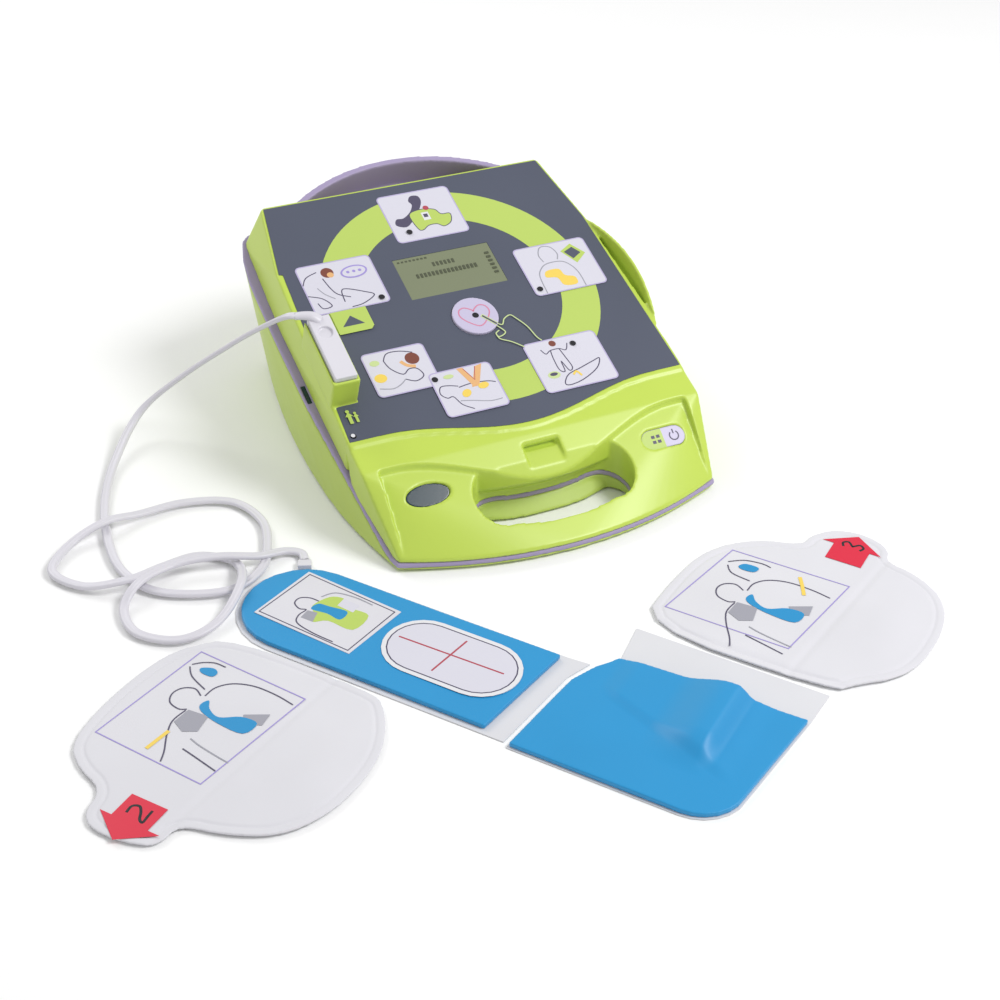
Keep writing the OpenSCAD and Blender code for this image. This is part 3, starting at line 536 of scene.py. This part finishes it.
def print_small_marks(art):
    """Plug arrow tag, adult and child signs, pointing hand and the step lights."""
    art.fill("green", [(-88, 79.5), (-67, 79.5), (-64.5, 82), (-64.5, 98), (-88, 98)])
    art.fill("slate", [(-84, 85), (-69.5, 85), (-76.5, 93)])
    for x, y, size in ((-105.5, 17.5, 1.0), (-101.5, 16.5, 0.75)):
        art.disc("green", x, y + 4.4 * size, 1.2 * size)
        art.fill("green", [(x - 2.4 * size, y + 0.6), (x + 2.4 * size, y + 0.6), (x, y + 3.8 * size)])
        art.fill("green", [(x - 1.1 * size, y - 5 * size), (x + 1.1 * size, y - 5 * size),
                           (x + 1.1 * size, y + 1), (x - 1.1 * size, y + 1)])
    art.line("pale_green", [(4, 70), (12, 58), (13, 54), (8, 52), (7, 55), (10, 57)], 0.8)
    art.line("pale_green", [(5, 71), (13, 61), (17, 65), (22, 67), (25, 63), (29, 55), (31, 46),
                            (33, 42)], 0.8)
    art.line("pale_green", [(7, 53), (8, 50), (14, 46), (20, 40)], 0.8)
    for x, y in ((-13, 151), (-51.5, 102.5), (50.5, 82.5), (51.5, 34.5), (-45, 30.5)):
        art.disc("lens", x, y, 2.0)
    art.disc("white", -108.5, 4, 1.3)


panel_art = Print("panel_print", PANEL, "unit")
print_ring(panel_art)
panel_art.lift = CARDS_LIFT
for card in (print_call_help, print_check_response, print_attach_pads, print_stand_clear,
             print_rescue_breaths, print_compressions, print_small_marks):
    card(panel_art)
panel_art.done()


def top_of(node, face):
    """Height of a CAD node's outermost point above a face, in millimetres."""
    to_face = face.inverted()
    return max((to_face @ v.co).z for v in frame["nodes"][node].data.vertices)


def print_display():
    """Dark segments of the display: a status row, two message rows and a level bar."""
    art = Print("display_print", PANEL, "unit", lift=top_of("lcd_window", PANEL) + 0.03)
    for left, v, count, tall in ((-31, 127, 8, 0.7), (-9, 119.5, 6, 1.7), (-23, 112, 16, 1.7)):
        for k in range(count):
            x = left + 2.7 * k
            art.fill("lcd_dark", [(x, v), (x + 1.6, v), (x + 1.6, v + 2 * tall), (x, v + 2 * tall)])
    for k in range(6):
        v = 104 + 3.4 * k
        art.fill("lcd_dark", [(28, v), (31, v), (31, v + 1.6), (28, v + 1.6)])
    art.done()


def print_shock_button():
    """Heart outline and centre light on the shock button."""
    low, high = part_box("shock_button")
    centre = PANEL.inverted() @ ((low + high) / 2)
    art = Print("shock_print", PANEL, "shock_button", lift=top_of("shock_button", PANEL) + 0.02)
    heart = [(0, -9), (-6, -5), (-10, 1), (-9, 6), (-5, 7.5), (-1, 5), (0, 3.5), (1, 5), (5, 7.5), (9, 6),
             (10, 1), (6, -5)]
    art.line("pink", [(centre.x + x, centre.y + y) for x, y in heart], 0.9, closed=True)
    art.disc("lens", centre.x, centre.y, 2.2)
    art.line("pale_green", [(centre.x + 3.5, centre.y - 1), (centre.x + 10.5, centre.y - 10.2)], 2.6)
    art.line("line", [(centre.x + 3.9, centre.y - 1.5), (centre.x + 10.5, centre.y - 10.2)], 1.3)
    art.done()


print_display()
print_shock_button()


def print_power_button():
    """Power sign on the right half, two dark bars on the left half."""
    low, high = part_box("power_button")
    centre = (low + high) / 2
    face = face_matrix(centre, Vector((1, 0, 0)), POWER_UP, POWER_OUT)
    half = (high.x - low.x) / 2 / MM
    art = Print("power_print", face, "power_button", lift=top_of("power_button", face) + 0.02)
    art.fill("green", [(-half + 6.5 - 6.3 * math.sin(a * math.pi / 12), 6.3 * math.cos(a * math.pi / 12))
                       for a in range(13)] + [(0, -6.3), (0, 6.3)])
    for x in (-8, -4.5):
        for y in (-2.6, 0.8):
            art.fill("line", [(x, y), (x + 2.4, y), (x + 2.4, y + 2), (x, y + 2)])
    angles = [math.radians(40 + 28 * k) for k in range(11)]
    art.line("line", [(7.5 + 3 * math.sin(a), 3 * math.cos(a)) for a in angles], 0.8)
    art.line("line", [(7.5, 1.2), (7.5, 4.2)], 0.8)
    art.done()


print_power_button()


# ---------------------------------------------------------------------------
# Electrode pads
# ---------------------------------------------------------------------------
TO_STRIP = STRIP.inverted()


def blend_in(low, high, value):
    """Smooth step from 0 at low to 1 at high."""
    t = min(1, max(0, (value - low) / (high - low)))
    return t * t * (3 - 2 * t)


def ground_outline(node):
    """Outline of a flat CAD solid's lower face, in millimetres on the strip."""
    bm = bmesh.new()
    bm.from_mesh(frame["nodes"][node].data)
    bmesh.ops.remove_doubles(bm, verts=bm.verts, dist=1e-6)
    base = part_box(node)[0].z
    under = {f for f in bm.faces if f.normal.z < -0.9 and abs(f.calc_center_median().z - base) < 1e-5}
    rim = [e for e in bm.edges if len([f for f in e.link_faces if f in under]) == 1]
    ahead = {}
    for e in rim:
        face = next(f for f in e.link_faces if f in under)
        loop = next(l for l in face.loops if l.edge == e)
        ahead[loop.vert] = loop.link_loop_next.vert
    loops = []
    while ahead:
        first = next(iter(ahead))
        chain = [first]
        while ahead.get(chain[-1]) is not None:
            chain.append(ahead.pop(chain[-1]))
            if chain[-1] == first:
                break
        loops.append([TO_STRIP @ v.co for v in chain[:-1]])
    bm.free()
    longest = max(loops, key=lambda c: sum((a - b).length for a, b in zip(c, c[1:])))
    return [(p.x, p.y) for p in longest]


def rounded(points, times):
    """Cut every corner of a closed outline, over and over, until it is round."""
    pts = [Vector(p) for p in points]
    for _ in range(times):
        cut = []
        for a, b in zip(pts, pts[1:] + pts[:1]):
            cut += [a * 0.75 + b * 0.25, a * 0.25 + b * 0.75]
        pts = cut
    return [(p.x, p.y) for p in pts]


def edge_distance(outline):
    """Function that gives a point's distance from a closed outline, in millimetres."""
    marks = []
    for (ax, ay), (bx, by) in zip(outline, outline[1:] + outline[:1]):
        steps = max(1, round(math.hypot(bx - ax, by - ay)))
        marks += [(ax + (bx - ax) * k / steps, ay + (by - ay) * k / steps, 0) for k in range(steps)]
    tree = KDTree(len(marks))
    for index, mark in enumerate(marks):
        tree.insert(mark, index)
    tree.balance()
    return lambda x, y: tree.find((x, y, 0))[2]


SEAL_INSET = 5.0
SEAL_HALF_WIDTH = 0.9
SEAL_DEPTH = 0.6
SOFT_VOXEL = 0.7
PAD_LAYER = (0.6, 3.6)  # underside and upper side of the blue pads before relief
WING_LAYER = (0.8, 2.2)  # the wings lie on their gel


def soft_slab(name, outline, layer, passes, relief, seal=0):
    """Soft slab over an outline: even mesh, rounded edges, upper side raised by relief(along, across).

    A sheet that is sealed round its rim has a shallow groove there, seal deep.
    """
    base, top = layer
    rim_distance = edge_distance(outline)
    bm = bmesh.new()
    low = [bm.verts.new(STRIP @ Vector((x, y, base))) for x, y in outline]
    high = [bm.verts.new(STRIP @ Vector((x, y, top))) for x, y in outline]
    bm.faces.new(low)
    bm.faces.new(high)
    for i in range(len(low)):
        k = (i + 1) % len(low)
        bm.faces.new((low[i], low[k], high[k], high[i]))
    bmesh.ops.recalc_face_normals(bm, faces=bm.faces)
    mesh = bpy.data.meshes.new(name + "_cut")
    bm.to_mesh(mesh)
    bm.free()
    blank = new_piece(name + "_cut", mesh)
    remesh = blank.modifiers.new("even_mesh", "REMESH")
    remesh.mode = "VOXEL"
    remesh.voxel_size = SOFT_VOXEL * MM
    smooth = blank.modifiers.new("soft_edges", "SMOOTH")
    smooth.factor = 0.5
    smooth.iterations = passes
    final = bpy.data.meshes.new_from_object(blank.evaluated_get(bpy.context.evaluated_depsgraph_get()))
    bpy.data.objects.remove(blank)
    middle = (base + top) / 2
    for v in final.vertices:
        p = TO_STRIP @ v.co
        share = blend_in(base, middle, p.z)
        groove = seal * math.exp(-((rim_distance(p.x, p.y) - SEAL_INSET) / SEAL_HALF_WIDTH) ** 2)
        v.co.z += share * (relief(p.x, p.y) - groove) * MM
    final.polygons.foreach_set("use_smooth", [True] * len(final.polygons))
    final.name = name
    return new_piece(name, final)


def far_relief(s, w):
    """Raised hand rest on the far pad: a long ridge, steep on its outer side, over a low plateau."""
    ridge = blend_in(66, 94, s) * (1 - blend_in(97, 108, s)) * blend_in(-16, 12, w)
    edge_line = 16 - 0.36 * (s - 34)
    plateau = blend_in(0, 9, w - edge_line) * blend_in(30, 44, s) * (1 - blend_in(104, 122, s))
    return 6.5 * ridge + 1.6 * plateau + 0.25 * math.sin(s / 17) * math.cos(w / 14)


def near_relief(s, w):
    """The near pad lies almost flat, with a shallow wave."""
    return 0.12 * math.sin(s / 22 + w / 19)


def near_wing_relief(s, w):
    """Soft sheet: a fold beside the picture and a slack belly beyond it."""
    fold = math.exp(-((s + 100 - 0.08 * (w + 100)) / 2.2) ** 2)
    belly = math.exp(-(((s + 64) / 17) ** 2 + ((w + 102) / 34) ** 2))
    slack = 0.35 * blend_in(-106, -92, s) * math.sin(s / 11 + w / 21) * math.cos(w / 17)
    return 0.3 + 1.7 * belly - 0.6 * fold + slack


def far_wing_relief(s, w):
    """Soft sheet: folds beside and below the picture, and a slack belly beyond."""
    fold = math.exp(-((s - 121 - 0.12 * (w - 140)) / 2.4) ** 2) + math.exp(-((w - 88) / 2.4) ** 2)
    belly = math.exp(-(((s - 150) / 15) ** 2 + ((w - 148) / 34) ** 2))
    slack = 0.35 * blend_in(116, 130, s) * math.sin(s / 12 - w / 23) * math.cos(w / 15)
    return 0.3 + 1.7 * belly - 0.6 * fold + slack


def build_pads():
    """Blue pads with their raised rest, and the two white wings with their sealed rims."""
    near = soft_slab("near_pad", ground_outline("near_cover"), PAD_LAYER, 4, near_relief)
    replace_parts(paint(near, "pad_blue"), "near_cover")
    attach(near, "unit")
    far = soft_slab("far_pad_cover", ground_outline("far_cover"), PAD_LAYER, 4, far_relief)
    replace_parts(paint(far, "pad_blue"), "far_cover")
    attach(far, "far_pad")
    for node, shape in (("near_wing", near_wing_relief), ("far_wing", far_wing_relief)):
        outline = rounded(ground_outline(node), 2)
        wing = soft_slab(node + "_sheet", outline, WING_LAYER, 5, shape, SEAL_DEPTH)
        corners = zip(outline, outline[1:] + outline[:1])
        area = abs(sum(a[0] * b[1] - b[0] * a[1] for a, b in corners)) / 2 * MM * MM
        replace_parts(paint(wing, "pad_sheet"), node)
        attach(wing, node)


build_pads()


def print_near_pad():
    """Picture card and hand target on the near pad."""
    art = Print("near_pad_print", STRIP, "unit", lift=top_of("target_label", STRIP) + 0.03)
    art.line("line", [(-162, -16), (-101, -20), (-96, 21), (-156, 26)], 0.7, curved=False, closed=True)
    art.blob("green", [(-139, 3), (-135, 14), (-127, 17), (-119, 12), (-107, 11), (-108, -4), (-124, -4),
                       (-131, -9), (-135, -2)])
    art.fill("card", [(-127, 10), (-116, 9), (-116, 16), (-127, 17)])
    art.blob("blue", [(-138, 0), (-137, 6), (-130, 7), (-119, 8), (-119, 0), (-128, 1)])
    art.fill("grey", [(-139, -2), (-133, -1), (-131, -9), (-139, -9)])
    art.line("line", [(-138, 8), (-144, 8), (-149, 5), (-149, 0), (-144, -3), (-140, -2), (-141, -8),
                      (-138, -14), (-126, -17), (-112, -18)], 0.8)
    art.line("grey", [(-139, 12), (-134, 19), (-122, 21), (-110, 20)], 0.8)
    stadium = []
    for cx, start in ((-31, -90), (-67, 90)):
        stadium += [(cx, 3, math.radians(start + 15 * k)) for k in range(13)]
    for ink, radius in (("white", 23), ("line", 20.4), ("card", 19.6)):
        art.fill(ink, [(cx + radius * math.cos(a), cy + radius * math.sin(a)) for cx, cy, a in stadium])
    art.line("dull_red", [(-83, 4), (-18, 5)], 1.1)
    art.line("dull_red", [(-53, -12), (-48.5, 19)], 1.1)
    art.done()


def print_torso(art, x, y):
    """Placement picture: head, shoulders and arms in outline, with the two pads and the blue pull."""
    def at(points):
        return [(x + a, y + b) for a, b in points]

    art.line("line", at([(-6, 9), (-12, 12), (-18, 9), (-20, 3), (-17, -3), (-10, -5), (-6, -3)]), 0.8)
    art.line("line", at([(-4, 10), (-3, 18), (3, 25), (14, 29), (28, 29), (40, 27)]), 0.8)
    art.line("line", at([(-6, -4), (-7, -14), (-3, -24), (3, -34), (6, -41)]), 0.8)
    art.line("grey", at([(9, -20), (16, -22), (28, -24), (36, -25)]), 0.8)
    art.line("line", at([(10, -28), (20, -30), (34, -33)]), 0.8)
    art.fill("grey", at([(-5, -3), (7, -2), (9, -14), (2, -18), (-6, -14)]))
    art.fill("grey", at([(22, 8), (34, 15), (35, 6), (26, 2)]))
    art.blob("blue", at([(-2, 3), (0, 8), (4, 3), (12, 0), (22, 6), (32, 6), (30, -4), (14, -4), (2, -1)]))


def print_arrow(art, x, y, up, digit):
    """Red pull arrow with its number; up is 1 or -1 along the strip's width."""
    def at(points):
        return [(x + a, y + up * b) for a, b in points]

    art.fill("red", at([(-11, -14), (11, -14), (11, 2), (18, 2), (0, 15), (-18, 2), (-11, 2)]))
    art.line("lens", [(x + a * up, y - 5 * up + b * up) for a, b in digit], 1.5)


WING_PRINT_LIFT = 2.65  # just clear of the sheet's upper side
DIGIT_TWO = [(5.5, 2.5), (5.8, -2.2), (2.5, -4), (-0.5, -1.2), (-3, 3), (-5.5, 4), (-5.2, -0.5), (-5, -4.6)]
DIGIT_THREE = [(-5, 6.5), (-6.3, 10), (-3.5, 12), (-0.4, 9), (0.4, 9), (3.5, 12), (6.3, 10), (5, 6.5)]


def print_wings():
    """Placement picture and numbered pull arrow on each wing."""
    art = Print("near_wing_print", STRIP, "near_wing", lift=WING_PRINT_LIFT)
    art.line("violet", [(-170, -59), (-100, -63), (-110, -141), (-179, -137)], 0.7, curved=False, closed=True)
    print_torso(art, -143, -97)
    art.line("yellow", [(-147, -118), (-148, -126), (-149, -134)], 2.2)
    art.line("line", [(-168, -70), (-164, -66), (-158, -63), (-151, -63)], 0.7)
    art.line("line", [(-168, -72), (-162, -78), (-150, -83)], 0.7)
    art.blob("blue", [(-162, -70), (-156, -67), (-152, -69), (-153, -73), (-160, -73)])
    print_arrow(art, -124, -177, -1, DIGIT_TWO)
    art.done()
    art = Print("far_wing_print", STRIP, "far_wing", lift=WING_PRINT_LIFT)
    art.line("violet", [(33, 103), (107, 103), (118, 173), (46, 172)], 0.7, curved=False, closed=True)
    print_torso(art, 72, 130)
    art.line("yellow", [(90, 167), (94, 160), (98, 152)], 2.2)
    art.line("line", [(48, 160), (56, 166), (66, 168), (72, 167)], 0.7)
    art.line("line", [(49, 157), (54, 151), (66, 149)], 0.7)
    art.blob("blue", [(55, 159), (58, 163), (66, 163), (65, 158), (58, 157)])
    print_arrow(art, 107, 207, 1, DIGIT_THREE)
    art.done()


print_near_pad()
print_wings()


# ---------------------------------------------------------------------------
# Studio
# ---------------------------------------------------------------------------
CAMERA_AT = (-0.4074, -0.8585, 0.6135)
CAMERA_AZIMUTH = 26.41
CAMERA_ELEVATION = 35.24
CAMERA_ROLL = -1.46
CAMERA_LENS = 62.1


def build_floor():
    """Large pale floor, a hair under the pieces that lie on it."""
    bpy.ops.mesh.primitive_plane_add(size=12, location=(0, 0, -0.0002))
    floor = bpy.context.object
    floor.name = "floor"
    floor.data.materials.append(material("floor_paper", (0.93, 0.93, 0.93), 0.9, mottle=0.004))


def build_light(name, place, aim, size, power):
    """Round soft light that shines from a place towards an aim."""
    light = bpy.data.lights.new(name, "AREA")
    light.shape = "DISK"
    light.size = size
    light.energy = power
    obj = bpy.data.objects.new(name, light)
    bpy.context.scene.collection.objects.link(obj)
    obj.location = place
    obj.rotation_euler = (Vector(aim) - Vector(place)).to_track_quat("-Z", "Y").to_euler()


def build_camera():
    """Long lens that looks down on the unit from its front left."""
    azimuth, elevation = math.radians(CAMERA_AZIMUTH), math.radians(CAMERA_ELEVATION)
    ahead = Vector((math.sin(azimuth) * math.cos(elevation), math.cos(azimuth) * math.cos(elevation),
                    -math.sin(elevation)))
    right = ahead.cross(Vector((0, 0, 1))).normalized()
    up = right.cross(ahead)
    turn = Matrix((right, up, -ahead)).transposed()
    lens = bpy.data.cameras.new("camera")
    lens.lens = CAMERA_LENS
    lens.sensor_width = 36
    camera = bpy.data.objects.new("camera", lens)
    bpy.context.scene.collection.objects.link(camera)
    roll = Matrix.Rotation(-math.radians(CAMERA_ROLL), 4, "Z")
    camera.matrix_world = Matrix.Translation(CAMERA_AT) @ turn.to_4x4() @ roll
    bpy.context.scene.camera = camera


def build_world():
    """Even white light from all round."""
    world = bpy.data.worlds.new("studio")
    world.use_nodes = True
    world.node_tree.nodes["Background"].inputs["Color"].default_value = (1, 1, 1, 1)
    world.node_tree.nodes["Background"].inputs["Strength"].default_value = 0.62
    bpy.context.scene.world = world
    bpy.context.scene.view_settings.view_transform = "Standard"


build_world()
build_floor()
build_light("key", (0.9, -0.8, 1.5), (0, -0.1, 0), 0.7, 20)
build_light("rim", (-0.5, 1.2, 1.1), (0, 0, 0), 0.8, 7)
build_camera()
